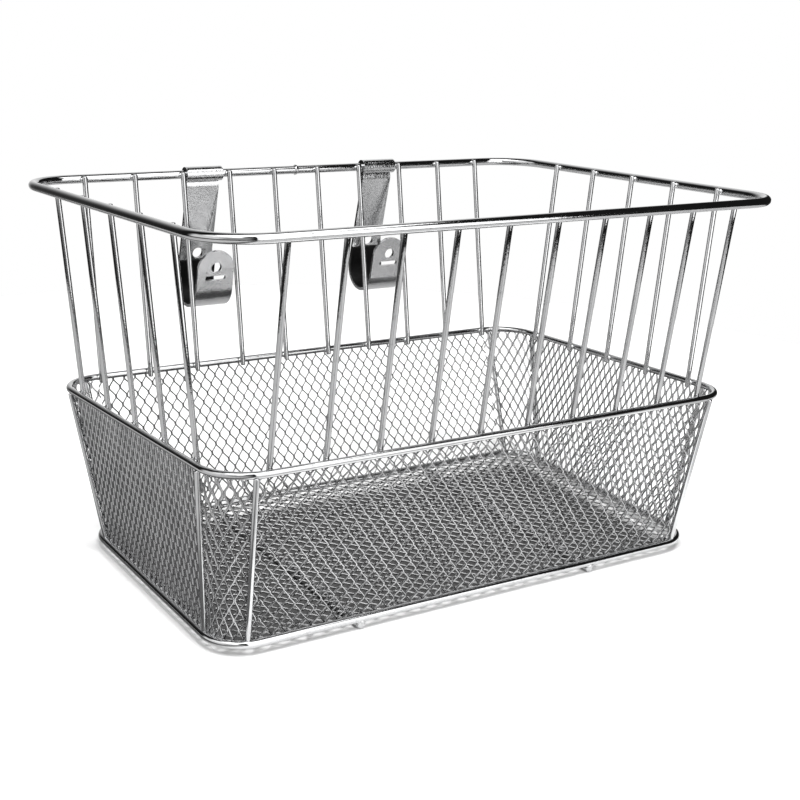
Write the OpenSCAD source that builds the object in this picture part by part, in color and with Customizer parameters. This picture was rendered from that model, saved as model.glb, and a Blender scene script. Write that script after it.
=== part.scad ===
// Wire handlebar basket: wire upper walls, expanded-mesh tray, two swinging J hooks.
// Millimetres, +Z up, front is -Y, the two runners rest on z = 0.

/* [Rims] */
// Width of the top rim, wire centre to wire centre
top_w = 350; // [320:1:380]
// Depth of the top rim, wire centre to wire centre
top_d = 245; // [225:1:265]
// Corner radius of the top rim
top_r = 28; // [22:1:34]
// Width of the middle rim
mid_w = 327; // [310:1:340]
// Depth of the middle rim
mid_d = 210; // [195:1:225]
// Corner radius of the middle rim
mid_r = 24; // [20:1:28]
// Width of the bottom rim
bottom_w = 313; // [300:1:325]
// Depth of the bottom rim
bottom_d = 166; // [155:1:180]
// Corner radius of the bottom rim
bottom_r = 20; // [16:1:24]
// Height of the top rim over the bottom rim
top_h = 199.5; // [180:0.5:220]
// Height of the middle rim over the bottom rim
mid_h = 86.5; // [75:0.5:100]
// Slope of the upper rims against the level floor, front edge higher
rake = 4; // [0:0.5:5]
// Middle rim's offset to the rear
mid_shift = 1.2; // [0:0.1:3]
// Upper frame's offset to the rear
tray_shift = 4; // [0:0.5:6]

/* [Wires] */
// Top rim wire diameter
top_wire = 5; // [4:0.1:5.5]
// Middle rim wire diameter
mid_wire = 3.8; // [3:0.1:4.5]
// Bottom rim wire diameter
bottom_wire = 4.4; // [3.6:0.1:5]
// Upright and corner post wire diameter
upright_wire = 3; // [2.4:0.1:3.4]
// Runner wire diameter
runner_wire = 5; // [4.2:0.1:5.6]
// How far welded wires sink into each other
weld = 0.3; // [0.2:0.05:0.5]
// Runner's sink into the bottom rim
runner_weld = 1.3; // [0.8:0.1:1.5]

/* [Spacing] */
// Pitch of the front and rear uprights
front_pitch = 30.6; // [29.5:0.1:31.2]
// Pitch of the side uprights
side_pitch = 36.2; // [34:0.1:37.5]
// Distance between the two runners
runner_span = 154; // [130:1:180]
// Distance between the two hooks
hook_span = 124; // [121:0.2:125]
// Angle round a corner bend at which its front or rear post stands
post_turn = 75; // [70:1:80]

/* [Mesh] */
// Depth of the expanded mesh
mesh_t = 1.6; // [1.2:0.1:2]

/* [Hooks] */
// Hook sheet thickness
sheet = 1.8; // [1.5:0.1:2]
// Lining thickness
lining = 1; // [0.8:0.1:1.2]
// Radius of the bar seat inside the lining
seat_r = 11.2; // [11.1:0.05:11.3]
// Width of the hook's seat and tab
hook_w = 24; // [22:0.5:24.5]
// Width of the rolled clip
clip_w = 23.6; // [21:0.2:24]
// Width of the neck below the clip
neck_w = 21; // [19:0.5:22]
// Radial running clearance between clip and rim
clip_gap = 0.09; // [0.05:0.01:0.1]
// Angle the hooks hang back from plumb
hang = 8; // [0:0.5:14]
// Drop from the rim to the seat's centre
seat_drop = 64.7; // [62:0.1:68]
// Drop from the rim to the lock bolt holes
bolt_drop = 49.8; // [48:0.1:51]
// Lock bolt hole radius
bolt_r = 3.3; // [3:0.1:3.5]
// Length of the strap slot
slot_l = 13.5; // [11:0.5:15]
// Height of the strap slot
slot_h = 2.9; // [2.5:0.1:3.2]
// Drop from the rim to the slot
slot_drop = 56.4; // [56:0.1:57.5]

/* [Hidden] */
$fn = 96;
steel = [0.80, 0.81, 0.83];
rubber = [0.06, 0.06, 0.06];
front_count = 10;
side_count = 5;
corner_steps = 8;
base_z = runner_wire + bottom_wire / 2 - runner_weld;
mesh_in_mid = 0.9;
mesh_in_bottom = bottom_wire / 2 + mesh_t / 2 - weld;
post_out = mesh_t / 2 + upright_wire / 2 - weld;
upright_rise = 1.8;
upright_fall = mid_wire / 2 + 1;
top_in = top_wire / 2 + upright_wire / 2 - weld;
mid_in = mid_wire / 2 + upright_wire / 2 - weld;
rear_rim = rim_pt([0, top_d / 2, top_h]);
clip_bore = top_wire / 2 + clip_gap;
clip_out = clip_bore + sheet;
plate_back = 0;
plate_front = -sheet;
seat_y = plate_front - lining - seat_r;
seat_in = seat_r + lining;
seat_out = seat_in + sheet;
tab_r = hook_w / 2;
tab_top_drop = 39.1;
dish_top = 9.5;
dish_mid = 50;
dish_end = 60;
web_half = 5.5;
dish_half = 10.6;
dish_back = 1.8;
liner_top = bolt_drop + bolt_r + 0.9;
liner_tab_top = 60;

// A point of the raked upper frame, in the level frame.
function rim_pt(p) = [
  p.x,
  tray_shift + p.y * cos(rake) + p.z * sin(rake),
  base_z - p.y * sin(rake) + p.z * cos(rake)
];

// A straight wire between two points.
module wire(p, q, d) {
  v = q - p;
  l = norm(v);
  translate(p)
    rotate([0, acos(v.z / l), atan2(v.y, v.x)])
      cylinder(h = l, d = d);
}

// A closed rounded-rectangle ring of round wire.
module rim(w, d, r, wire_d) {
  for (s = [-1, 1]) {
    translate([-(w / 2 - r), s * d / 2, 0])
      rotate([0, 90, 0])
        cylinder(h = w - 2 * r, d = wire_d);
    translate([s * w / 2, -(d / 2 - r), 0])
      rotate([-90, 0, 0])
        cylinder(h = d - 2 * r, d = wire_d);
  }
  for (c = [[1, 1, 0], [-1, 1, 90], [-1, -1, 180], [1, -1, 270]])
    translate([c[0] * (w / 2 - r), c[1] * (d / 2 - r), 0])
      rotate([0, 0, c[2]])
        rotate_extrude(angle = 90)
          translate([r, 0])
            circle(d = wire_d);
}

// Places children in the raked upper frame.
module raked() {
  translate([0, tray_shift, base_z])
    rotate([-rake, 0, 0])
      children();
}

module top_rim() {
  color(steel)
    raked()
      translate([0, 0, top_h])
        rim(top_w, top_d, top_r, top_wire);
}

module mid_rim() {
  color(steel)
    raked()
      translate([0, mid_shift, mid_h])
        rim(mid_w, mid_d, mid_r, mid_wire);
}

module bottom_rim() {
  color(steel)
    translate([0, 0, base_z])
      rim(bottom_w, bottom_d, bottom_r, bottom_wire);
}

// A point at height z on the line through t (at the top rim) and m (at the middle rim).
function on_line(t, m, z) = [
  m.x + (t.x - m.x) * (z - mid_h) / (top_h - mid_h),
  m.y + (t.y - m.y) * (z - mid_h) / (top_h - mid_h),
  z
];

module upright(t, m) {
  color(steel)
    wire(
      rim_pt(on_line(t, m, mid_h - upright_fall)),
      rim_pt(on_line(t, m, top_h + upright_rise)),
      upright_wire
    );
}

// Uprights of the front (side -1) and rear (side 1) walls, counted from the left.
module long_upright(side, k) {
  x = (k - (front_count + 1) / 2) * front_pitch;
  upright([x, side * (top_d / 2 - top_in)], [x, side * (mid_d / 2 - mid_in) + mid_shift]);
}

// Uprights of the left (side -1) and right (side 1) walls, counted from the rear.
module short_upright(side, k) {
  y = ((side_count + 1) / 2 - k) * side_pitch;
  upright([side * (top_w / 2 - top_in), y], [side * (mid_w / 2 - mid_in), y + mid_shift]);
}

// Mesh line under the middle rim and at the bottom rim, at angle a of corner [sx, sy].
function mid_line(sx, sy, a, out) = rim_pt([
  sx * (mid_w / 2 - mid_r + (mid_r - mesh_in_mid + out) * cos(a)),
  sy * (mid_d / 2 - mid_r + (mid_r - mesh_in_mid + out) * sin(a)) + mid_shift,
  mid_h - 1
]);

function bottom_line(sx, sy, a, out) = [
  sx * (bottom_w / 2 - bottom_r + (bottom_r - mesh_in_bottom + out) * cos(a)),
  sy * (bottom_d / 2 - bottom_r + (bottom_r - mesh_in_bottom + out) * sin(a)),
  base_z + 0.2
];

// Corner posts stand outside the mesh, at angle a of their corner.
module post(sx, sy, a) {
  color(steel)
    wire(
      bottom_line(sx, sy, a, post_out) + [0, 0, 0.8],
      mid_line(sx, sy, a, post_out),
      upright_wire
    );
}

// Two triangles between side j of the n-point section at index k and the next section.
function quad(k, j, n, flip) =
  let (a = k + j, b = k + (j + 1) % n, c = k + n + (j + 1) % n, d = k + n + j)
  flip ? [[a, b, d], [b, c, d]] : [[a, b, c], [a, c, d]];

// A thin wall through a list of stations [sx, sy, angle].
module wall(stations) {
  n = len(stations);
  h = mesh_t / 2;
  pts = [
    for (s = stations)
      each [
        bottom_line(s[0], s[1], s[2], h),
        mid_line(s[0], s[1], s[2], h),
        mid_line(s[0], s[1], s[2], -h),
        bottom_line(s[0], s[1], s[2], -h)
      ]
  ];
  sides = [for (i = [0 : n - 2], j = [0 : 3]) each quad(i * 4, j, 4, j == 2)];
  e = 4 * (n - 1);
  caps = [[2, 1, 0], [3, 2, 0], [e, e + 1, e + 2], [e, e + 2, e + 3]];
  color(steel)
    polyhedron(points = pts, faces = concat(sides, caps));
}

module mesh_front() {
  wall([[-1, -1, 90], [1, -1, 90]]);
}

module mesh_rear() {
  wall([[1, 1, 90], [-1, 1, 90]]);
}

module mesh_left() {
  wall([[-1, 1, 0], [-1, -1, 0]]);
}

module mesh_right() {
  wall([[1, -1, 0], [1, 1, 0]]);
}

module corner_mesh(sx, sy) {
  from = sx * sy > 0 ? 0 : 90;
  wall([for (i = [0 : corner_steps]) [sx, sy, abs(from - i * 90 / corner_steps)]]);
}

module mesh_floor() {
  w = bottom_w - bottom_wire + 2 * weld;
  d = bottom_d - bottom_wire + 2 * weld;
  r = bottom_r - bottom_wire / 2 + weld;
  color(steel)
    translate([0, 0, base_z - bottom_wire / 2 + runner_weld])
      linear_extrude(mesh_t) {
        square([w - 2 * r, d], center = true);
        square([w, d - 2 * r], center = true);
        for (sx = [-1, 1], sy = [-1, 1])
          translate([sx * (w / 2 - r), sy * (d / 2 - r)])
            circle(r);
      }
}

module runner(side) {
  y = bottom_d / 2 + 1.5;
  color(steel)
    wire(
      [side * runner_span / 2, -y, runner_wire / 2],
      [side * runner_span / 2, y, runner_wire / 2],
      runner_wire
    );
}

// Hook parts are drawn about the rear rim's centreline: y to the rear, z down is negative.
module hook_frame(side) {
  translate([side * hook_span / 2, rear_rim.y, rear_rim.z])
    rotate([hang, 0, 0])
      children();
}

module across(w) {
  rotate([90, 0, 90])
    linear_extrude(w, center = true)
      children();
}

// The sheet rolled round the rim, open at the lower front.
module clip_profile() {
  difference() {
    circle(clip_out);
    circle(clip_bore);
    polygon([
      [0, 0],
      [clip_out * 2 * cos(250), clip_out * 2 * sin(250)],
      [clip_out * 2 * cos(302), clip_out * 2 * sin(302)]
    ]);
  }
}

// The bend that brings the sheet forward from the roll to the plate.
module neck_profile() {
  polygon([
    [clip_bore * cos(305) + 0.1, clip_bore * sin(305) - 0.1],
    [clip_out * cos(312), clip_out * sin(312)],
    [plate_back + 0.3, -8.7],
    [plate_back, -10],
    [plate_front, -10],
    [plate_front, -8.2],
    [0.9, -2.8]
  ]);
}

// Half ring below the seat's centre.
module seat_profile(r_out, r_in) {
  translate([seat_y, -seat_drop])
    difference() {
      circle(r_out);
      circle(r_in);
      translate([-r_out * 2, 0])
        square([r_out * 4, r_out * 2]);
    }
}

// The plate: flat at the neck, with side flanks bent back towards the hole, flat again at the seat.
module dished_plate() {
  secs = [
    [dish_top, neck_w / 2 - 0.1, neck_w / 2, 0],
    [dish_mid, web_half, dish_half, dish_back],
    [dish_end, tab_r - 0.1, tab_r, 0]
  ];
  pts = [
    for (s = secs)
      each [
        [-s[2], plate_front + s[3], -s[0]],
        [-s[1], plate_front, -s[0]],
        [s[1], plate_front, -s[0]],
        [s[2], plate_front + s[3], -s[0]],
        [s[2], plate_back + s[3], -s[0]],
        [s[1], plate_back, -s[0]],
        [-s[1], plate_back, -s[0]],
        [-s[2], plate_back + s[3], -s[0]]
      ]
  ];
  sides = [for (i = [0 : len(secs) - 2], j = [0 : 7]) each quad(i * 8, j, 8, j > 3)];
  e = 8 * (len(secs) - 1);
  cap = [[0, 7, 6], [0, 6, 1], [1, 6, 5], [1, 5, 2], [2, 5, 4], [2, 4, 3]];
  caps = [for (c = cap) each [c, [e + c[2], e + c[1], e + c[0]]]];
  polyhedron(points = pts, faces = concat(sides, caps));
}

// The tab in front of the seat, with its round top.
module tab() {
  translate([0, seat_y - seat_in, 0])
    rotate([90, 0, 0])
      linear_extrude(sheet) {
        translate([0, -(tab_top_drop + tab_r)])
          circle(tab_r);
        translate([-tab_r, -seat_drop])
          square([hook_w, seat_drop - tab_top_drop - tab_r]);
      }
}

module slot_cut() {
  translate([0, seat_y, -slot_drop])
    rotate([90, 0, 0])
      linear_extrude(seat_out * 2) {
        square([slot_l - slot_h, slot_h], center = true);
        for (s = [-1, 1])
          translate([s * (slot_l - slot_h) / 2, 0])
            circle(d = slot_h);
      }
}

module hook_strap(side) {
  color(steel)
    hook_frame(side)
      difference() {
        union() {
          across(clip_w)
            clip_profile();
          across(neck_w)
            neck_profile();
          dished_plate();
          across(hook_w) {
            seat_profile(seat_out, seat_in);
            translate([plate_front, -seat_drop])
              square([sheet, seat_drop - dish_end]);
          }
          tab();
        }
        translate([0, 10, -bolt_drop])
          rotate([90, 0, 0])
            cylinder(h = 60, r = bolt_r);
        slot_cut();
      }
}

module hook_liner(side) {
  color(rubber)
    hook_frame(side)
      across(hook_w) {
        seat_profile(seat_in, seat_r);
        translate([plate_front - lining, -seat_drop])
          square([lining, seat_drop - liner_top]);
        translate([seat_y - seat_in, -seat_drop])
          square([lining, seat_drop - liner_tab_top]);
      }
}

top_rim();
mid_rim();
bottom_rim();
long_upright(-1, 1);  // upright_front_1
long_upright(-1, 2);  // upright_front_2
long_upright(-1, 3);  // upright_front_3
long_upright(-1, 4);  // upright_front_4
long_upright(-1, 5);  // upright_front_5
long_upright(-1, 6);  // upright_front_6
long_upright(-1, 7);  // upright_front_7
long_upright(-1, 8);  // upright_front_8
long_upright(-1, 9);  // upright_front_9
long_upright(-1, 10);  // upright_front_10
long_upright(1, 1);  // upright_rear_1
long_upright(1, 2);  // upright_rear_2
long_upright(1, 3);  // upright_rear_3
long_upright(1, 4);  // upright_rear_4
long_upright(1, 5);  // upright_rear_5
long_upright(1, 6);  // upright_rear_6
long_upright(1, 7);  // upright_rear_7
long_upright(1, 8);  // upright_rear_8
long_upright(1, 9);  // upright_rear_9
long_upright(1, 10);  // upright_rear_10
short_upright(-1, 1);  // upright_left_1
short_upright(-1, 2);  // upright_left_2
short_upright(-1, 3);  // upright_left_3
short_upright(-1, 4);  // upright_left_4
short_upright(-1, 5);  // upright_left_5
short_upright(1, 1);  // upright_right_1
short_upright(1, 2);  // upright_right_2
short_upright(1, 3);  // upright_right_3
short_upright(1, 4);  // upright_right_4
short_upright(1, 5);  // upright_right_5
post(-1, -1, 0);  // post_front_left_a
post(-1, -1, post_turn);  // post_front_left_b
post(1, -1, 0);  // post_front_right_a
post(1, -1, post_turn);  // post_front_right_b
post(-1, 1, 0);  // post_rear_left_a
post(-1, 1, post_turn);  // post_rear_left_b
post(1, 1, 0);  // post_rear_right_a
post(1, 1, post_turn);  // post_rear_right_b
runner(-1);  // runner_left
runner(1);  // runner_right
mesh_floor();
mesh_front();
mesh_rear();
mesh_left();
mesh_right();
corner_mesh(-1, -1);  // mesh_front_left
corner_mesh(1, -1);  // mesh_front_right
corner_mesh(-1, 1);  // mesh_rear_left
corner_mesh(1, 1);  // mesh_rear_right
hook_strap(-1);  // hook_strap_left
hook_liner(-1);  // hook_liner_left
hook_strap(1);  // hook_strap_right
hook_liner(1);  // hook_liner_right
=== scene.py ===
import math
import random

import bmesh
import bpy
from mathutils import Matrix, Vector, noise


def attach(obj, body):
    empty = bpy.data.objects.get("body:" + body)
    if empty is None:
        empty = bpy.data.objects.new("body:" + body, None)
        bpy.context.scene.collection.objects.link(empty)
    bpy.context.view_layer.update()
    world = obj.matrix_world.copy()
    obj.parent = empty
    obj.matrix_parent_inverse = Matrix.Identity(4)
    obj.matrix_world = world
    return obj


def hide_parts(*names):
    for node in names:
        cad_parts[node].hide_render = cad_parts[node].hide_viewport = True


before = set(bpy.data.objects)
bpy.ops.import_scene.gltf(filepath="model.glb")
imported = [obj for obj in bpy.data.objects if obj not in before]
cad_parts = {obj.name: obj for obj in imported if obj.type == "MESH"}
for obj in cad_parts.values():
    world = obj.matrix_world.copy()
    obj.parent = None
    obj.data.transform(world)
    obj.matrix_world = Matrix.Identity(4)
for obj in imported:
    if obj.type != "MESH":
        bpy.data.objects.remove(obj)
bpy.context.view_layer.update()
random.seed(11)
MM = 0.001

# ---------------------------------------------------------------- sizes, in millimetres, as in the CAD source
TOP_W, TOP_D, TOP_R, TOP_H = 350.0, 245.0, 28.0, 199.5
MID_W, MID_D, MID_R, MID_H = 327.0, 210.0, 24.0, 86.5
BOT_W, BOT_D, BOT_R = 313.0, 166.0, 20.0
RAKE = math.radians(4)
MID_SHIFT, TRAY_SHIFT, BASE_Z = 1.2, 4.0, 5.9
TOP_WIRE, MID_WIRE, BOT_WIRE, UP_WIRE, RUN_WIRE = 5.0, 3.8, 4.4, 3.0, 5.0
TOP_IN, MID_IN = 3.7, 3.1
UP_RISE, UP_FALL = 1.8, 2.9
FRONT_PITCH, SIDE_PITCH, RUNNER_SPAN = 30.6, 36.2, 154.0
MESH_IN_MID, MESH_IN_BOT, POST_OUT = 0.9, 2.7, 2.0
POST_TURN = math.radians(75)
# a corner's mesh laid flat: its mean radius and its height
CORNER_R, CORNER_H = 19.6, 82.0
MESH_T, FLOOR_REACH = 1.6, 0.3
HOOK_X, HANG = 62.0, math.radians(8)
SHEET, LINING, SEAT_R, SEAT_DROP = 1.8, 1.0, 11.2, 64.7
BOLT_DROP, BOLT_R, SLOT_DROP, SLOT_L, SLOT_H = 49.8, 3.3, 56.4, 13.5, 2.9
CLIP_BORE, CLIP_W, NECK_W, HOOK_W = 2.59, 23.6, 21.0, 24.0
# drops below the rim where the flanks start and end, the length over which the plate widens to the seat
PLATE_START, PLATE_END, SEAT_TAPER, FLANK_BEND = 9.5, 50.0, 10.0, 1.8
WAIST_HALF, WEB_NECK, WEB_WAIST, WEB_SEAT = 10.6, 10.4, 5.5, 11.9
TAB_TIP, LINER_TAB_TOP = 39.1, 60.0
QUARTER = math.pi / 2


def rim_pt(x, y, z):
    """A point of the raked upper frame, in the level frame."""
    return Vector(
        (
            x,
            TRAY_SHIFT + y * math.cos(RAKE) + z * math.sin(RAKE),
            BASE_Z - y * math.sin(RAKE) + z * math.cos(RAKE),
        )
    )


# ---------------------------------------------------------------- mesh helpers
def make(name, verts, faces, material, body, *nodes, slot="wire"):
    """A smooth-shaded piece from millimetre coordinates, riding on a body in place of CAD nodes."""
    mesh = bpy.data.meshes.new(name)
    mesh.from_pydata([tuple(Vector(v) * MM) for v in verts], [], faces)
    mesh.update()
    mesh.polygons.foreach_set("use_smooth", [True] * len(mesh.polygons))
    obj = bpy.data.objects.new(name, mesh)
    bpy.context.scene.collection.objects.link(obj)
    mesh.materials.append(material)
    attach(obj, body)
    if nodes:
        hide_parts(*nodes)
    return obj


class Shape:
    """Collects vertices and faces of several closed parts of one piece."""

    def __init__(self):
        self.verts = []
        self.faces = []

    def add(self, verts, faces):
        k = len(self.verts)
        self.verts += verts
        self.faces += [tuple(i + k for i in f) for f in faces]

    def loft(self, rings, closed=False):
        """Joins equal rings of points. Open lofts get end caps."""
        n = len(rings[0])
        m = len(rings)
        verts = [p for r in rings for p in r]
        faces = []
        for i in range(m if closed else m - 1):
            a, b = i * n, (i + 1) % m * n
            for j in range(n):
                k = (j + 1) % n
                faces.append((a + j, a + k, b + k, b + j))
        if not closed:
            faces.append(tuple(range(n - 1, -1, -1)))
            faces.append(tuple((m - 1) * n + j for j in range(n)))
        self.add(verts, faces)

    def tube(self, path, radius, closed=False, sides=18):
        """Round wire along a path. The radius is one number, or a function of the point's index."""
        m = len(path)
        tangents = []
        for i in range(m):
            a = path[(i - 1) % m] if closed or i > 0 else path[i]
            b = path[(i + 1) % m] if closed or i < m - 1 else path[i]
            tangents.append((b - a).normalized())
        up = Vector((0, 0, 1)) if abs(tangents[0].z) < 0.9 else Vector((0, 1, 0))
        side = tangents[0].cross(up).normalized()
        rings = []
        for i in range(m):
            t = tangents[i]
            side = (side - t * side.dot(t)).normalized()
            other = t.cross(side)
            r = radius(i) if callable(radius) else radius
            rings.append(
                [
                    path[i]
                    + side * (r * math.cos(2 * math.pi * j / sides))
                    + other * (r * math.sin(2 * math.pi * j / sides))
                    for j in range(sides)
                ]
            )
        self.loft(rings, closed)

    def bead(self, centre, axes, seed=0, rough=0.12):
        """A weld bead: a rounded lump of the given three half axes, slightly uneven."""
        rings, n = [], 14
        for i in range(1, 10):
            a = math.pi * i / 10
            ring = []
            for j in range(n):
                b = 2 * math.pi * j / n
                d = Vector((math.cos(a), math.sin(a) * math.cos(b), math.sin(a) * math.sin(b)))
                k = 1 + rough * noise.noise(d * 1.7 + Vector((seed * 3.1, seed, 0)))
                ring.append(centre + (axes[0] * d.x + axes[1] * d.y + axes[2] * d.z) * k)
            rings.append(ring)
        self.loft(rings)


def rounded(w, d, r, place, step=6.0, arc=14):
    """Points of a rounded rectangle, counter-clockwise from above, passed through place(x, y)."""
    pts = []
    corners = ((1, -1, -90), (1, 1, 0), (-1, 1, 90), (-1, -1, 180))
    for k, (sx, sy, a0) in enumerate(corners):
        cx, cy = sx * (w / 2 - r), sy * (d / 2 - r)
        for i in range(arc + 1):
            a = math.radians(a0 + 90 * i / arc)
            pts.append(Vector((cx + r * math.cos(a), cy + r * math.sin(a), 0)))
        nx, ny, b0 = corners[(k + 1) % 4]
        b = math.radians(b0)
        nxt = Vector((nx * (w / 2 - r) + r * math.cos(b), ny * (d / 2 - r) + r * math.sin(b), 0))
        last = pts[-1]
        n = max(2, int((nxt - last).length / step))
        pts += [last.lerp(nxt, i / n) for i in range(1, n)]
    return [place(p.x, p.y) for p in pts]


def domed_path(a, b, radius, dome, step=12.0):
    """A straight path with closely spaced points at both ends, and its radius function."""
    length = (b - a).length
    cap = [1 - math.cos(math.radians(x)) for x in (8, 25, 42, 60, 78, 90)]
    marks = [(dome * c, radius * (0.45 + 0.55 * math.sqrt(max(0, 1 - (1 - c) ** 2)))) for c in cap]
    n = max(2, int((length - 2 * dome) / step))
    middle = [(dome + (length - 2 * dome) * i / n, radius) for i in range(1, n)]
    both = marks + middle + [(length - s, r) for s, r in reversed(marks)]
    path = [a.lerp(b, s / length) for s, _ in both]
    return path, [r for _, r in both]


def straight(a, b, wire, sides=18, dome=0.8):
    """A straight wire with domed ends."""
    shape = Shape()
    path, radii = domed_path(a, b, wire / 2, dome)
    shape.tube(path, lambda i: radii[i], sides=sides)
    return shape


def axes(x, y, z):
    """Three half axes along X, Y and Z."""
    return Vector((x, 0, 0)), Vector((0, y, 0)), Vector((0, 0, z))


# ---------------------------------------------------------------- materials
def nodes_of(material):
    """The material's node tree and its main shader."""
    material.use_nodes = True
    tree = material.node_tree
    return tree, tree.nodes["Principled BSDF"]


def ramp(tree, source, stops):
    """A colour ramp on the source, from (position, grey level or colour) stops."""
    r = tree.nodes.new("ShaderNodeValToRGB")
    tree.links.new(source, r.inputs["Fac"])
    els = r.color_ramp.elements
    while len(els) < len(stops):
        els.new(0.5)
    for e, (pos, val) in zip(els, stops):
        e.position = pos
        e.color = (*val, 1) if isinstance(val, tuple) else (val, val, val, 1)
    return r


def noise_tex(tree, coords, scale, detail=3.0, roughness=0.55):
    n = tree.nodes.new("ShaderNodeTexNoise")
    n.inputs["Scale"].default_value = scale
    n.inputs["Detail"].default_value = detail
    n.inputs["Roughness"].default_value = roughness
    tree.links.new(coords, n.inputs["Vector"])
    return n.outputs["Fac"]


def bump_map(tree, height, strength, distance, under=None):
    """The normals of a bump, on top of another bump's if one is given."""
    b = tree.nodes.new("ShaderNodeBump")
    b.inputs["Strength"].default_value = strength
    b.inputs["Distance"].default_value = distance
    tree.links.new(height, b.inputs["Height"])
    if under:
        tree.links.new(under, b.inputs["Normal"])
    return b.outputs["Normal"]


def chrome(name, rough=(0.05, 0.16), tones=(0.44, 0.52), bump=0.15, grain=900.0, wear=0.5):
    """Chrome plate: cloudy tone and gloss, fine pitting, and duller spots where it has been handled."""
    mat = bpy.data.materials.new(name)
    tree, bsdf = nodes_of(mat)
    link = tree.links.new
    coords = tree.nodes.new("ShaderNodeTexCoord").outputs["Object"]
    clouds = noise_tex(tree, coords, 38.0, 4.0, 0.6)
    spots = noise_tex(tree, coords, 260.0, 2.0, 0.5)
    fine = noise_tex(tree, coords, grain, 3.0, 0.6)
    low, high = tones
    cool_low = (low, low * 1.005, low * 1.015)
    cool_high = (high, high * 1.004, high * 1.012)
    tone = ramp(tree, clouds, [(0.30, cool_low), (0.62, cool_high)])
    dull = ramp(tree, spots, [(0.60, 1.0), (0.78, 1.0 - wear * 0.35)])
    mix = tree.nodes.new("ShaderNodeMix")
    mix.data_type = "RGBA"
    mix.blend_type = "MULTIPLY"
    mix.inputs["Factor"].default_value = 1.0
    link(tone.outputs["Color"], mix.inputs["A"])
    link(dull.outputs["Color"], mix.inputs["B"])
    link(mix.outputs["Result"], bsdf.inputs["Base Color"])
    gloss = ramp(tree, clouds, [(0.35, rough[0]), (0.75, rough[1])])
    handled = ramp(tree, spots, [(0.60, 0.0), (0.80, wear * 0.25)])
    add = tree.nodes.new("ShaderNodeMath")
    add.operation = "ADD"
    link(gloss.outputs["Color"], add.inputs[0])
    link(handled.outputs["Color"], add.inputs[1])
    link(add.outputs[0], bsdf.inputs["Roughness"])
    pits = bump_map(tree, fine, bump, 0.0004)
    link(bump_map(tree, clouds, bump, 0.002, pits), bsdf.inputs["Normal"])
    bsdf.inputs["Metallic"].default_value = 1.0
    return mat


def rubber(name):
    """Moulded black rubber: nearly black, cloudy in its gloss, with a fine grain."""
    mat = bpy.data.materials.new(name)
    tree, bsdf = nodes_of(mat)
    link = tree.links.new
    coords = tree.nodes.new("ShaderNodeTexCoord").outputs["Object"]
    clouds = noise_tex(tree, coords, 90.0, 4.0, 0.6)
    fine = noise_tex(tree, coords, 1500.0, 2.0, 0.6)
    tone = ramp(tree, clouds, [(0.3, 0.002), (0.75, 0.006)])
    link(tone.outputs["Color"], bsdf.inputs["Base Color"])
    gloss = ramp(tree, clouds, [(0.3, 0.42), (0.8, 0.62)])
    link(gloss.outputs["Color"], bsdf.inputs["Roughness"])
    link(bump_map(tree, fine, 0.35, 0.0003), bsdf.inputs["Normal"])
    bsdf.inputs["Specular IOR Level"].default_value = 0.12
    return mat


WIRE = chrome("chrome_wire", rough=(0.04, 0.10), bump=0.04)
# the mesh's chrome is painted darker than the wire's (tones 0.34 to 0.42), a painted darkening for the shadow
# its strands reflect; its stronger wear and finer pitting are its own
THIN = chrome("chrome_mesh", rough=(0.05, 0.10), tones=(0.34, 0.42), bump=0.06, grain=1400.0, wear=0.8)
PLATE = chrome("chrome_sheet", rough=(0.10, 0.20), tones=(0.44, 0.52), bump=0.22, wear=0.6)
RUBBER = rubber("black_rubber")

# ---------------------------------------------------------------- the three rims
BASKET = "basket"
# half axes of the weld beads: one piece's along the rim, out of it and up, the others' along X, Y and Z
SEAM_WELD, UPRIGHT_WELD, RUNNER_WELD = axes(2.0, 2.95, 2.9), (2.5, 1.5, 2.0), axes(2.9, 2.4, 1.6)


def rim(wire, sides, *outline):
    """A closed rim of the given wire, from the arguments of rounded()."""
    shape = Shape()
    shape.tube(rounded(*outline), wire / 2, closed=True, sides=sides)
    return shape


top = rim(TOP_WIRE, 32, TOP_W, TOP_D, TOP_R, lambda x, y: rim_pt(x, y, TOP_H))
top.bead(rim_pt(1.5, TOP_D / 2, TOP_H), SEAM_WELD, 4, 0.35)
make("rim_top_wire", top.verts, top.faces, WIRE, BASKET, "top_rim")

mid = rim(MID_WIRE, 28, MID_W, MID_D, MID_R, lambda x, y: rim_pt(x, y + MID_SHIFT, MID_H))
make("rim_mid_wire", mid.verts, mid.faces, WIRE, BASKET, "mid_rim")

bottom = rim(BOT_WIRE, 28, BOT_W, BOT_D, BOT_R, lambda x, y: Vector((x, y, BASE_Z)))
make("rim_bottom_wire", bottom.verts, bottom.faces, WIRE, BASKET, "bottom_rim")


# ---------------------------------------------------------------- uprights, welded inside the rims
def upright(name, cad, top_point, mid_point, along):
    """From the wire's centre at the top and middle rims, and the rims' direction there."""
    slope = (top_point - mid_point) / (TOP_H - MID_H)
    a = rim_pt(*(mid_point - slope * UP_FALL))
    b = rim_pt(*(top_point + slope * UP_RISE))
    s = straight(a, b, UP_WIRE)
    out = Vector((0, 1, 0)) if abs(along.x) > 0.5 else Vector((1, 0, 0))
    sign = 1 if top_point.dot(out) > 0 else -1
    up = (b - a).normalized()
    length, depth, height = UPRIGHT_WELD
    for p, gap in ((top_point, TOP_IN), (mid_point, MID_IN)):
        at = rim_pt(*(p + out * sign * gap * 0.42))
        s.bead(at, (along * length, out * depth, up * height), random.random() * 40)
    make(name, s.verts, s.faces, WIRE, BASKET, cad)


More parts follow.
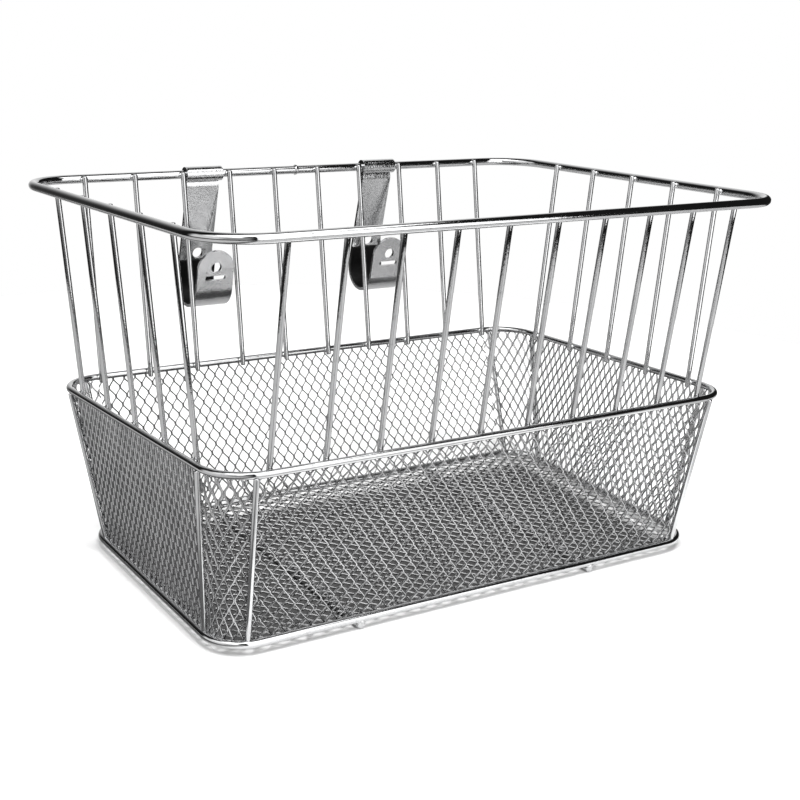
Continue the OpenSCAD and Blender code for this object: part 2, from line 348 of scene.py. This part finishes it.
for side, label in ((-1, "front"), (1, "rear")):
    for k in range(1, 11):
        x = (k - 5.5) * FRONT_PITCH
        upright(
            f"wire_{label}_{k}",
            f"upright_{label}_{k}",
            Vector((x, side * (TOP_D / 2 - TOP_IN), TOP_H)),
            Vector((x, side * (MID_D / 2 - MID_IN) + MID_SHIFT, MID_H)),
            Vector((1, 0, 0)),
        )
for side, label in ((-1, "left"), (1, "right")):
    for k in range(1, 6):
        y = (3 - k) * SIDE_PITCH
        upright(
            f"wire_{label}_{k}",
            f"upright_{label}_{k}",
            Vector((side * (TOP_W / 2 - TOP_IN), y, TOP_H)),
            Vector((side * (MID_W / 2 - MID_IN), y + MID_SHIFT, MID_H)),
            Vector((0, 1, 0)),
        )


# ---------------------------------------------------------------- corner posts and runners
def mid_line(sx, sy, a, out):
    """Where the mesh band meets the middle rim, at angle a of a corner, moved outward."""
    return rim_pt(
        sx * (MID_W / 2 - MID_R + (MID_R - MESH_IN_MID + out) * math.cos(a)),
        sy * (MID_D / 2 - MID_R + (MID_R - MESH_IN_MID + out) * math.sin(a)) + MID_SHIFT,
        MID_H - 1,
    )


def bottom_line(sx, sy, a, out):
    """Where the mesh band meets the bottom rim, at angle a of a corner, moved outward."""
    return Vector(
        (
            sx * (BOT_W / 2 - BOT_R + (BOT_R - MESH_IN_BOT + out) * math.cos(a)),
            sy * (BOT_D / 2 - BOT_R + (BOT_R - MESH_IN_BOT + out) * math.sin(a)),
            BASE_Z + 0.2,
        )
    )


def post(name, cad, sx, sy, a):
    """A wire outside the mesh, at angle a of a corner."""
    low = bottom_line(sx, sy, a, POST_OUT) + Vector((0, 0, 0.8))
    s = straight(low, mid_line(sx, sy, a, POST_OUT), UP_WIRE)
    make(name, s.verts, s.faces, WIRE, BASKET, cad)


CORNERS = ((-1, -1, "front_left"), (1, -1, "front_right"), (-1, 1, "rear_left"), (1, 1, "rear_right"))
for sx, sy, label in CORNERS:
    post(f"post_wire_{label}_a", f"post_{label}_a", sx, sy, 0)
    post(f"post_wire_{label}_b", f"post_{label}_b", sx, sy, POST_TURN)

for side, label in ((-1, "left"), (1, "right")):
    x, y, z = side * RUNNER_SPAN / 2, BOT_D / 2 + 1.5, RUN_WIRE / 2
    s = straight(Vector((x, -y, z)), Vector((x, y, z)), RUN_WIRE, sides=24, dome=1.4)
    for end in (-1, 1):
        s.bead(Vector((x, end * BOT_D / 2, z + 1.9)), RUNNER_WELD, side + 2 * end)
    make(f"runner_wire_{label}", s.verts, s.faces, WIRE, BASKET, f"runner_{label}")

# ---------------------------------------------------------------- raised expanded mesh
# half pitches across the strands, pitches along them, a strand's own width and thickness, and how far its
# corners are cut back along its width and its thickness
FRONT_U, REAR_U, SIDE_U, FLOOR_U = 3.75, 3.42, 2.85, 3.4
WALL_V, FLOOR_V = 5.2, 4.95
STRAND_W, STRAND_T = 1.15, 1.0
WIDE_EASE, EDGE_EASE = 0.35, 0.27
TURN = math.radians(50)
BOND, BOND_LAP = 1.5, 0.12
WALL_START, CORNER_START = 0.9, 1.2


def steps(low, high, phase, pitch):
    """Whole numbers of pitches that cover a stretch, with one to spare at each end."""
    return math.floor((low - phase) / pitch) - 1, math.ceil((high - phase) / pitch) + 1


def lattice(u0, u1, v0, v1, planes, pitch_u, pitch_v, u_phase=0.0, v_phase=0.0):
    """Flat raised expanded mesh in (u, v, n), strands running along v, kept inside the planes."""
    wide = Vector((math.cos(TURN), 0, -math.sin(TURN)))
    thick = Vector((math.sin(TURN), 0, math.cos(TURN)))
    hw, ht = STRAND_W / 2, STRAND_T / 2
    fw, ft = hw - WIDE_EASE, ht - EDGE_EASE
    half = [(-hw, -ft), (-fw, -ht), (fw, -ht), (hw, -ft)]
    section = half + [(-a, -b) for a, b in half]
    bm = bmesh.new()
    k0, k1 = steps(u0, u1, u_phase, pitch_u)
    j0, j1 = steps(v0, v1, v_phase, pitch_v)
    for k in range(k0, k1):
        rings = []
        for j in range(j0, j1 + 1):
            left = (k + j) % 2 == 0
            bond = Vector((u_phase + (k if left else k + 1) * pitch_u, 0, 0))
            centre = bond + wide * ((1 if left else -1) * (hw - BOND_LAP))
            for end in (-BOND / 2, BOND / 2):
                at = centre + Vector((0, v_phase + j * pitch_v + end, 0))
                rings.append([bm.verts.new(at + wide * a + thick * b) for a, b in section])
        for r0, r1 in zip(rings, rings[1:]):
            for i in range(8):
                bm.faces.new((r0[i], r0[(i + 1) % 8], r1[(i + 1) % 8], r1[i]))
        bm.faces.new(list(reversed(rings[0])))
        bm.faces.new(rings[-1])
    for point, normal in planes:
        geom = bm.verts[:] + bm.edges[:] + bm.faces[:]
        cut = bmesh.ops.bisect_plane(
            bm, geom=geom, plane_co=point, plane_no=normal, clear_outer=True, dist=1e-5
        )
        edges = [e for e in cut["geom_cut"] if isinstance(e, bmesh.types.BMEdge) and e.is_boundary]
        bmesh.ops.holes_fill(bm, edges=edges, sides=0)
    bmesh.ops.recalc_face_normals(bm, faces=bm.faces[:])
    return bm


def finish_mesh(name, bm, place, cad):
    """Places a flat lattice and makes a piece of it."""
    verts = [place(*v.co) for v in bm.verts]
    index = {v: i for i, v in enumerate(bm.verts)}
    faces = [tuple(index[v] for v in f.verts) for f in bm.faces]
    bm.free()
    obj = make(name, verts, faces, THIN, BASKET, cad, slot="expanded_mesh")
    obj.data.set_sharp_from_angle(angle=math.radians(50))


def flat_wall(name, cad, start, end, pitch):
    """A flat panel between two stations (sx, sy, angle), counter-clockwise seen from above."""
    b0, b1 = bottom_line(*start, 0), bottom_line(*end, 0)
    m0, m1 = mid_line(*start, 0), mid_line(*end, 0)
    along = (b1 - b0).normalized()
    out = along.cross((m0 + m1) / 2 - (b0 + b1) / 2).normalized()
    up = out.cross(along)
    flat = [Vector(((p - b0).dot(along), (p - b0).dot(up), 0)) for p in (b0, b1, m1, m0)]
    planes = []
    for p, q in zip(flat, flat[1:] + flat[:1]):
        planes.append((p, Vector((q.y - p.y, p.x - q.x, 0))))
    across = [p.x for p in flat]
    height = max(p.y for p in flat)
    middle = (b1 - b0).length / 2
    bm = lattice(min(across), max(across), 0, height, planes, pitch, WALL_V, middle, WALL_START)
    finish_mesh(name, bm, lambda u, v, n: b0 + along * u + up * v + out * n, cad)


def corner_wall(name, cad, sx, sy):
    """The curved panel of one corner, between its two posts."""
    turn = 1 if sx * sy > 0 else -1
    a_from = 0 if turn > 0 else QUARTER
    length = CORNER_R * QUARTER

    def place(u, v, n):
        a = a_from + turn * (u / CORNER_R)
        low, high = bottom_line(sx, sy, a, n), mid_line(sx, sy, a, n)
        return low.lerp(high, v / CORNER_H)

    planes = [
        (Vector((0, 0, 0)), Vector((-1, 0, 0))),
        (Vector((length, 0, 0)), Vector((1, 0, 0))),
        (Vector((0, 0, 0)), Vector((0, -1, 0))),
        (Vector((0, CORNER_H, 0)), Vector((0, 1, 0))),
    ]
    bm = lattice(0, length, 0, CORNER_H, planes, SIDE_U, WALL_V, CORNER_START, WALL_START)
    finish_mesh(name, bm, place, cad)


flat_wall("net_front", "mesh_front", (-1, -1, QUARTER), (1, -1, QUARTER), FRONT_U)
flat_wall("net_right", "mesh_right", (1, -1, 0), (1, 1, 0), SIDE_U)
flat_wall("net_rear", "mesh_rear", (1, 1, QUARTER), (-1, 1, QUARTER), REAR_U)
flat_wall("net_left", "mesh_left", (-1, 1, 0), (-1, -1, 0), SIDE_U)
for sx, sy, label in CORNERS:
    corner_wall(f"net_{label}", f"mesh_{label}", sx, sy)


def floor_net():
    """The floor panel, resting on the runners and reaching just into the bottom rim."""
    w, d = BOT_W - BOT_WIRE + 2 * FLOOR_REACH, BOT_D - BOT_WIRE + 2 * FLOOR_REACH
    r = BOT_R - BOT_WIRE / 2 + FLOOR_REACH
    planes = []
    for sx, sy in ((1, 1), (-1, 1), (-1, -1), (1, -1)):
        for i in range(7):
            a = math.radians(90 * i / 6)
            n = Vector((sx * math.cos(a), sy * math.sin(a), 0))
            c = Vector((sx * (w / 2 - r), sy * (d / 2 - r), 0))
            planes.append((c + n * r, n))
    # strands run along X here: u is the basket's Y, v its X
    swapped = [(Vector((p.y, p.x, 0)), Vector((n.y, n.x, 0))) for p, n in planes]
    bm = lattice(-d / 2, d / 2, -w / 2, w / 2, swapped, FLOOR_U, FLOOR_V)
    z = RUN_WIRE + MESH_T / 2
    finish_mesh("net_floor", bm, lambda u, v, n: Vector((v, u, z + n)), "mesh_floor")


floor_net()

# ---------------------------------------------------------------- the two hooks
REAR = rim_pt(0, TOP_D / 2, TOP_H)
SEAT_Y = -SHEET - LINING - SEAT_R
SEAT_IN = SEAT_R + LINING
MID_ROLL = CLIP_BORE + SHEET / 2
ROLL_START, ROLL_END = 250, -42


def arc_rows(cy, cz, r, start, end, n, half):
    """Rows round an arc, from one angle to another in degrees."""
    rows = []
    for i in range(n + 1):
        a = math.radians(start + (end - start) * i / n)
        rows.append((cy + r * math.cos(a), cz + r * math.sin(a), half, 0.0))
    return rows


def neck_rows():
    """An S from the roll's end forward to the plate, drawing in to the neck's width."""
    a = math.radians(ROLL_END)
    roll_end = Vector((MID_ROLL * math.cos(a), MID_ROLL * math.sin(a)))
    middle = -SHEET / 2
    p = [roll_end, roll_end - Vector((1.5, 1.7)), Vector((middle, -4.8)), Vector((middle, -8.4))]
    rows = []
    for i in range(1, 15):
        t = i / 14
        q = p[0] * (1 - t) ** 3 + p[1] * 3 * t * (1 - t) ** 2 + p[2] * 3 * t * t * (1 - t) + p[3] * t**3
        half = CLIP_W / 2 + (NECK_W / 2 - CLIP_W / 2) * min(1, t * 3)
        rows.append((q.x, q.y, half, 0.0))
    return rows


def plate_rows():
    """The plate: its flanks bend back further down to the waist, then it widens to the flat seat."""
    rows = []
    waisted = [9.8 + i * 1.75 for i in range(23)]
    widening = [PLATE_END + i for i in range(1, 15)]
    for drop in waisted:
        f = (drop - PLATE_START) / (PLATE_END - PLATE_START)
        rows.append((-SHEET / 2, -drop, NECK_W / 2 + (WAIST_HALF - NECK_W / 2) * f, FLANK_BEND * f))
    for drop in widening:
        f = min(1, (drop - PLATE_END) / SEAT_TAPER)
        rows.append((-SHEET / 2, -drop, WAIST_HALF + (HOOK_W / 2 - WAIST_HALF) * f, FLANK_BEND * (1 - f)))
    return rows


def tab_rows():
    """The tab in front of the seat, with its round top."""
    y = SEAT_Y - SEAT_IN - SHEET / 2
    rows = []
    drop = SEAT_DROP - 1.0
    while drop > TAB_TIP + HOOK_W / 2 + 0.4:
        rows.append((y, -drop, HOOK_W / 2, 0.0))
        drop -= 1.2
    for i in range(19):
        a = QUARTER * i / 18
        half = max(0.9, HOOK_W / 2 * math.cos(a))
        rows.append((y, -(TAB_TIP + HOOK_W / 2) + HOOK_W / 2 * math.sin(a), half, 0.0))
    return rows


def strap_rows():
    """The strap's middle surface in the hook's own (y, z), from the clip's lip to the tab's tip."""
    roll = arc_rows(0, 0, MID_ROLL, ROLL_START, ROLL_END, 46, CLIP_W / 2)
    seat = arc_rows(SEAT_Y, -SEAT_DROP, SEAT_IN + SHEET / 2, 0, -180, 40, HOOK_W / 2)
    return roll + neck_rows() + plate_rows() + seat + tab_rows()


def web_half(drop):
    """Half the width of the plate's flat web, between its flanks."""
    if drop < PLATE_END:
        return WEB_NECK + (WEB_WAIST - WEB_NECK) * (drop - PLATE_START) / (PLATE_END - PLATE_START)
    return WEB_WAIST + (WEB_SEAT - WEB_WAIST) * min(1, (drop - PLATE_END) / SEAT_TAPER)


def strap_solid(rows, thick, columns=24):
    """A bent strip: rows of (y, z, half width, flank bend), as a closed solid."""
    m = len(rows)
    verts = []
    for sign in (1, -1):
        for i, (y, z, half, back) in enumerate(rows):
            before, after = rows[max(0, i - 1)], rows[min(m - 1, i + 1)]
            along = Vector((0, after[0] - before[0], after[1] - before[1])).normalized()
            face = Vector((0, along.z, -along.y)) * (sign * thick / 2)
            for j in range(columns + 1):
                x = half * (2 * j / columns - 1)
                bend = 0.0
                if back > 0:
                    web = web_half(-z)
                    bend = back * max(0.0, min(1.0, (abs(x) - web) / max(0.3, half - web)))
                verts.append(Vector((x, y + bend, z)) + face)
    w = columns + 1
    off = m * w
    faces = []
    for i in range(m - 1):
        for j in range(columns):
            a, b, c, d = i * w + j, i * w + j + 1, (i + 1) * w + j + 1, (i + 1) * w + j
            faces.append((a, b, c, d))
            faces.append((off + d, off + c, off + b, off + a))
        for j, flip in ((0, False), (columns, True)):
            a, b = i * w + j, (i + 1) * w + j
            f = (a, b, off + b, off + a)
            faces.append(tuple(reversed(f)) if flip else f)
    for i, flip in ((0, True), (m - 1, False)):
        for j in range(columns):
            a, b = i * w + j, i * w + j + 1
            f = (a, b, off + b, off + a)
            faces.append(tuple(reversed(f)) if flip else f)
    return verts, faces


def hook_place(side):
    """From a hook's own frame, with the rim at its origin, to the basket's."""
    turn = Matrix.Rotation(HANG, 4, "X")
    move = Matrix.Translation(Vector((side * HOOK_X, REAR.y, REAR.z)))
    return move @ turn


def cutter(points, y0, y1):
    """A prism along the hook's y with the outline (x, z), counter-clockwise."""
    n = len(points)
    verts = [Vector((x, y, z)) for y in (y0, y1) for x, z in points]
    faces = [tuple(range(n)), tuple(range(2 * n - 1, n - 1, -1))]
    faces += [(i, i + n, (i + 1) % n + n, (i + 1) % n) for i in range(n)]
    return verts, faces


def ring(cz, r, n=40):
    """The outline of a round hole."""
    turns = [2 * math.pi * i / n for i in range(n)]
    return [(r * math.cos(a), cz + r * math.sin(a)) for a in turns]


def stadium(cz, length, height, n=14):
    """The outline of a slot with round ends."""
    pts = []
    for s in (1, -1):
        for i in range(n + 1):
            a = math.pi * i / n - s * QUARTER
            pts.append((s * (length - height) / 2 + height / 2 * math.cos(a), cz + height / 2 * math.sin(a)))
    return pts


def raw_object(name, verts, faces):
    """A scratch object in millimetres, with its faces all turned outward."""
    mesh = bpy.data.meshes.new(name)
    mesh.from_pydata([tuple(v) for v in verts], [], faces)
    bm = bmesh.new()
    bm.from_mesh(mesh)
    bmesh.ops.recalc_face_normals(bm, faces=bm.faces[:])
    bm.to_mesh(mesh)
    bm.free()
    obj = bpy.data.objects.new(name, mesh)
    bpy.context.scene.collection.objects.link(obj)
    return obj


def carved(solid, cutters, bevel):
    """The solid with the cutters taken away and its edges rounded, as (verts, faces)."""
    base = raw_object("work", *solid)
    tools = []
    for i, (cv, cf) in enumerate(cutters):
        tool = raw_object(f"tool{i}", cv, cf)
        tools.append(tool)
        mod = base.modifiers.new(f"cut{i}", "BOOLEAN")
        mod.operation = "DIFFERENCE"
        mod.solver = "EXACT"
        mod.object = tool
    mod = base.modifiers.new("bevel", "BEVEL")
    mod.width = bevel
    mod.segments = 3
    mod.limit_method = "ANGLE"
    mod.angle_limit = math.radians(48)
    mod.use_clamp_overlap = True
    dg = bpy.context.evaluated_depsgraph_get()
    mesh = bpy.data.meshes.new_from_object(base.evaluated_get(dg))
    out = [v.co.copy() for v in mesh.vertices], [tuple(p.vertices) for p in mesh.polygons]
    for o in tools + [base]:
        bpy.data.objects.remove(o)
    bpy.data.meshes.remove(mesh)
    return out


def liner_rows():
    """The lining's middle surface, up the plate behind the seat and a little way up the tab."""
    r = SEAT_R + LINING / 2
    top_drop = BOLT_DROP + BOLT_R + 0.9
    rows = []
    for i in range(8):
        drop = top_drop + (SEAT_DROP - top_drop) * i / 8
        rows.append((-SHEET - LINING / 2, -drop, HOOK_W / 2, 0.0))
    rows += arc_rows(SEAT_Y, -SEAT_DROP, r, 0, -180, 40, HOOK_W / 2)
    for i in range(1, 4):
        rows.append((SEAT_Y - r, -(SEAT_DROP - (SEAT_DROP - LINER_TAB_TOP) * i / 3), HOOK_W / 2, 0.0))
    return rows


def hook_piece(name, solid, material, label, cad, slot):
    """One piece of a hook, from its (verts, faces) in the hook's own frame."""
    place = hook_place(-1 if label == "left" else 1)
    verts, faces = solid
    obj = make(name, [place @ v for v in verts], faces, material, f"hook_{label}", cad, slot=slot)
    obj.data.set_sharp_from_angle(angle=math.radians(45))


holes = [
    cutter(ring(-BOLT_DROP, BOLT_R), -60, 20),
    cutter(stadium(-SLOT_DROP, SLOT_L, SLOT_H), -60, SEAT_Y),
]
strap = carved(strap_solid(strap_rows(), SHEET), holes, 0.4)
lining = carved(strap_solid(liner_rows(), LINING), [], 0.25)
for label in ("left", "right"):
    hook_piece(f"strap_{label}", strap, PLATE, label, f"hook_strap_{label}", "sheet_steel")
    hook_piece(f"lining_{label}", lining, RUBBER, label, f"hook_liner_{label}", "rubber_lining")


# ---------------------------------------------------------------- floor, light and camera
class Graph:
    """Shorthands for arithmetic in a node tree."""

    def __init__(self, tree):
        self.tree = tree

    def calc(self, op, a, b=0.0):
        n = self.tree.nodes.new("ShaderNodeMath")
        n.operation = op
        for i, v in enumerate((a, b)):
            if isinstance(v, (int, float)):
                n.inputs[i].default_value = v
            else:
                self.tree.links.new(v, n.inputs[i])
        return n.outputs[0]

    def step(self, value, start, end):
        """Rises smoothly from 0 at start to 1 at end, whichever of the two is larger."""
        n = self.tree.nodes.new("ShaderNodeMapRange")
        n.interpolation_type = "SMOOTHSTEP"
        self.tree.links.new(value, n.inputs["Value"])
        flip = start > end
        n.inputs["From Min"].default_value = min(start, end)
        n.inputs["From Max"].default_value = max(start, end)
        n.inputs["To Min"].default_value = 1.0 if flip else 0.0
        n.inputs["To Max"].default_value = 0.0 if flip else 1.0
        return n.outputs["Result"]

    def area(self, *limits):
        """1 where every (value, start, end) step is full."""
        mask = None
        for limit in limits:
            s = self.step(*limit)
            mask = s if mask is None else self.calc("MULTIPLY", mask, s)
        return mask

    def mix(self, factor, a, b):
        n = self.tree.nodes.new("ShaderNodeMix")
        n.data_type = "RGBA"
        self.tree.links.new(factor, n.inputs["Factor"])
        self.tree.links.new(a, n.inputs["A"])
        if isinstance(b, tuple):
            n.inputs["B"].default_value = b
        else:
            self.tree.links.new(b, n.inputs["B"])
        return n.outputs["Result"]


def paint_floor(material):
    """A pale floor, slightly uneven in tone, with a painted shadow below the tray. Seen in the chrome it is
    painted dimmer, with a painted pool of light in front of the basket and painted darkness to its left.
    """
    tree, bsdf = nodes_of(material)
    graph = Graph(tree)
    coords = tree.nodes.new("ShaderNodeTexCoord").outputs["Object"]
    parts = tree.nodes.new("ShaderNodeSeparateXYZ")
    tree.links.new(coords, parts.inputs[0])
    x = graph.calc("DIVIDE", parts.outputs["X"], MM)
    y = graph.calc("DIVIDE", parts.outputs["Y"], MM)
    wide, deep = BOT_W / 2, BOT_D / 2
    across, along = graph.calc("ABSOLUTE", x), graph.calc("ABSOLUTE", y)
    # painted shadow: the floor's colour goes nearly black under the tray's footprint and fades out towards
    # its edges
    painted_shadow = graph.area((across, wide, wide - 14), (along, deep, deep - 14))
    # painted light: a brighter patch of floor in front of the basket, seen only in the chrome
    front = graph.area(
        (y, -deep - 110, -deep - 45),
        (y, 0, -40),
        (x, -wide - 12, -wide + 6),
        (x, wide + 90, wide + 20),
    )
    # painted darkness: a dimmer strip of floor to the left of the basket, seen only in the chrome
    left = graph.area((x, -wide - 110, -wide - 50), (x, -wide - 2, -wide - 8))
    tone = ramp(tree, noise_tex(tree, coords, 3.0), [(0.3, 0.86), (0.7, 0.90)])
    # painted reflection: the floor's colour for glossy rays is 0.42, raised by the painted light in front and
    # lowered by the painted darkness on the left, far below the pale tone the camera sees
    level = graph.calc("ADD", graph.calc("MULTIPLY", front, 0.50), graph.calc("MULTIPLY", left, -0.33))
    painted_reflection_tone = graph.calc("ADD", level, 0.42)
    # glossy rays get the painted reflection tone, all other rays the pale tone
    ray = tree.nodes.new("ShaderNodeLightPath").outputs["Is Glossy Ray"]
    pale = graph.mix(ray, tone.outputs["Color"], painted_reflection_tone)
    # the painted shadow darkens the floor's colour for every ray
    tree.links.new(graph.mix(painted_shadow, pale, (0.05, 0.05, 0.05, 1)), bsdf.inputs["Base Color"])
    bsdf.inputs["Roughness"].default_value = 0.9


def stage():
    """A disc of studio floor."""
    bm = bmesh.new()
    bmesh.ops.create_circle(bm, cap_ends=True, radius=0.62, segments=128)
    mesh = bpy.data.meshes.new("studio_floor")
    bm.to_mesh(mesh)
    bm.free()
    obj = bpy.data.objects.new("studio_floor", mesh)
    bpy.context.scene.collection.objects.link(obj)
    mat = bpy.data.materials.new("pale_floor")
    paint_floor(mat)
    mesh.materials.append(mat)


class Sky(Graph):
    """The studio's surroundings, as seen in the chrome, from soft patches of light."""

    def __init__(self):
        world = bpy.data.worlds.new("studio")
        bpy.context.scene.world = world
        world.use_nodes = True
        super().__init__(world.node_tree)
        self.tree.nodes.clear()
        self.dir = self.tree.nodes.new("ShaderNodeTexCoord").outputs["Generated"]
        self.total = None

    def along(self, axis):
        n = self.tree.nodes.new("ShaderNodeVectorMath")
        n.operation = "DOT_PRODUCT"
        self.tree.links.new(self.dir, n.inputs[0])
        n.inputs[1].default_value = axis
        return n.outputs["Value"]

    def patch(self, level, *limits):
        """Light of the given level where every (value, start, end) step is full."""
        lit = self.calc("MULTIPLY", self.area(*limits), level)
        self.total = lit if self.total is None else self.calc("ADD", self.total, lit)

    def done(self, base):
        """Adds a base level. The camera itself sees plain white."""
        link = self.tree.links.new
        reflected = self.tree.nodes.new("ShaderNodeBackground")
        link(self.calc("ADD", self.total, base), reflected.inputs["Strength"])
        seen = self.tree.nodes.new("ShaderNodeBackground")
        seen.inputs["Color"].default_value = (1, 1, 1, 1)
        path = self.tree.nodes.new("ShaderNodeLightPath")
        mix = self.tree.nodes.new("ShaderNodeMixShader")
        link(path.outputs["Is Camera Ray"], mix.inputs["Fac"])
        link(reflected.outputs[0], mix.inputs[1])
        link(seen.outputs[0], mix.inputs[2])
        out = self.tree.nodes.new("ShaderNodeOutputWorld")
        link(mix.outputs[0], out.inputs["Surface"])


def surroundings():
    """The studio as directions along the camera's heading, to its right, and up."""
    sky = Sky()
    ahead = sky.along((0.566, 0.825, 0.0))
    aside = sky.along((0.825, -0.566, 0.0))
    up = sky.along((0.0, 0.0, 1.0))
    level = (up, -0.3, -0.1), (up, 0.6, 0.3)
    # a backdrop that fades to a dark gap on its left and ends on its right, then the walls to the
    # right and left of the camera, the ceiling above it, and light from below
    sides = (aside, -0.95, -0.15), (aside, 0.28, 0.16)
    sky.patch(1.2, (ahead, 0.35, 0.8), *sides, (up, -0.5, -0.3), (up, 0.9, 0.7))
    sky.patch(0.62, (ahead, 0.1, -0.1), (aside, 0.45, 0.2), *level)
    sky.patch(0.85, (ahead, 0.2, -0.1), (aside, -0.3, -0.7), *level)
    sky.patch(2.2, (ahead, -0.1, -0.4), (aside, 0.15, 0.0), (up, 0.38, 0.48), (up, 0.9, 0.8))
    sky.patch(0.25, (up, -0.3, -0.7))
    sky.done(0.02)


def softbox(name, location, target, size, power, in_chrome=True):
    """A square lamp that the camera doesn't see, nor the chrome if in_chrome is false."""
    light = bpy.data.lights.new(name, "AREA")
    light.shape = "RECTANGLE"
    light.size, light.size_y = size
    light.energy = power
    obj = bpy.data.objects.new(name, light)
    obj.location = location
    obj.rotation_euler = (Vector(target) - Vector(location)).to_track_quat("-Z", "Y").to_euler()
    obj.visible_camera = False
    obj.visible_glossy = in_chrome
    bpy.context.scene.collection.objects.link(obj)


stage()
surroundings()
softbox("front_panel", (0.20, -0.80, 0.50), (0.20, 0.0, 0.50), (0.80, 1.0), 6.0)
softbox("ceiling_panel", (-0.175, -0.415, 1.10), (-0.175, -0.415, 0.0), (1.45, 0.77), 10.3)
softbox("floor_wash", (-0.05, -0.10, 1.05), (-0.05, -0.10, 0), (0.6, 0.5), 17.0, in_chrome=False)

camera = bpy.data.cameras.new("camera")
camera.sensor_width = 36
camera.lens = 64.02
camera.clip_start = 0.02
camera.clip_end = 20
cam = bpy.data.objects.new("camera", camera)
cam.location = (-0.43936, -0.63367, 0.34249)
cam.rotation_euler = [math.radians(v) for v in (71.70, -3.46, -33.33)]
bpy.context.scene.collection.objects.link(cam)
bpy.context.scene.camera = cam
bpy.context.scene.view_settings.view_transform = "Standard"

bpy.context.view_layer.update()
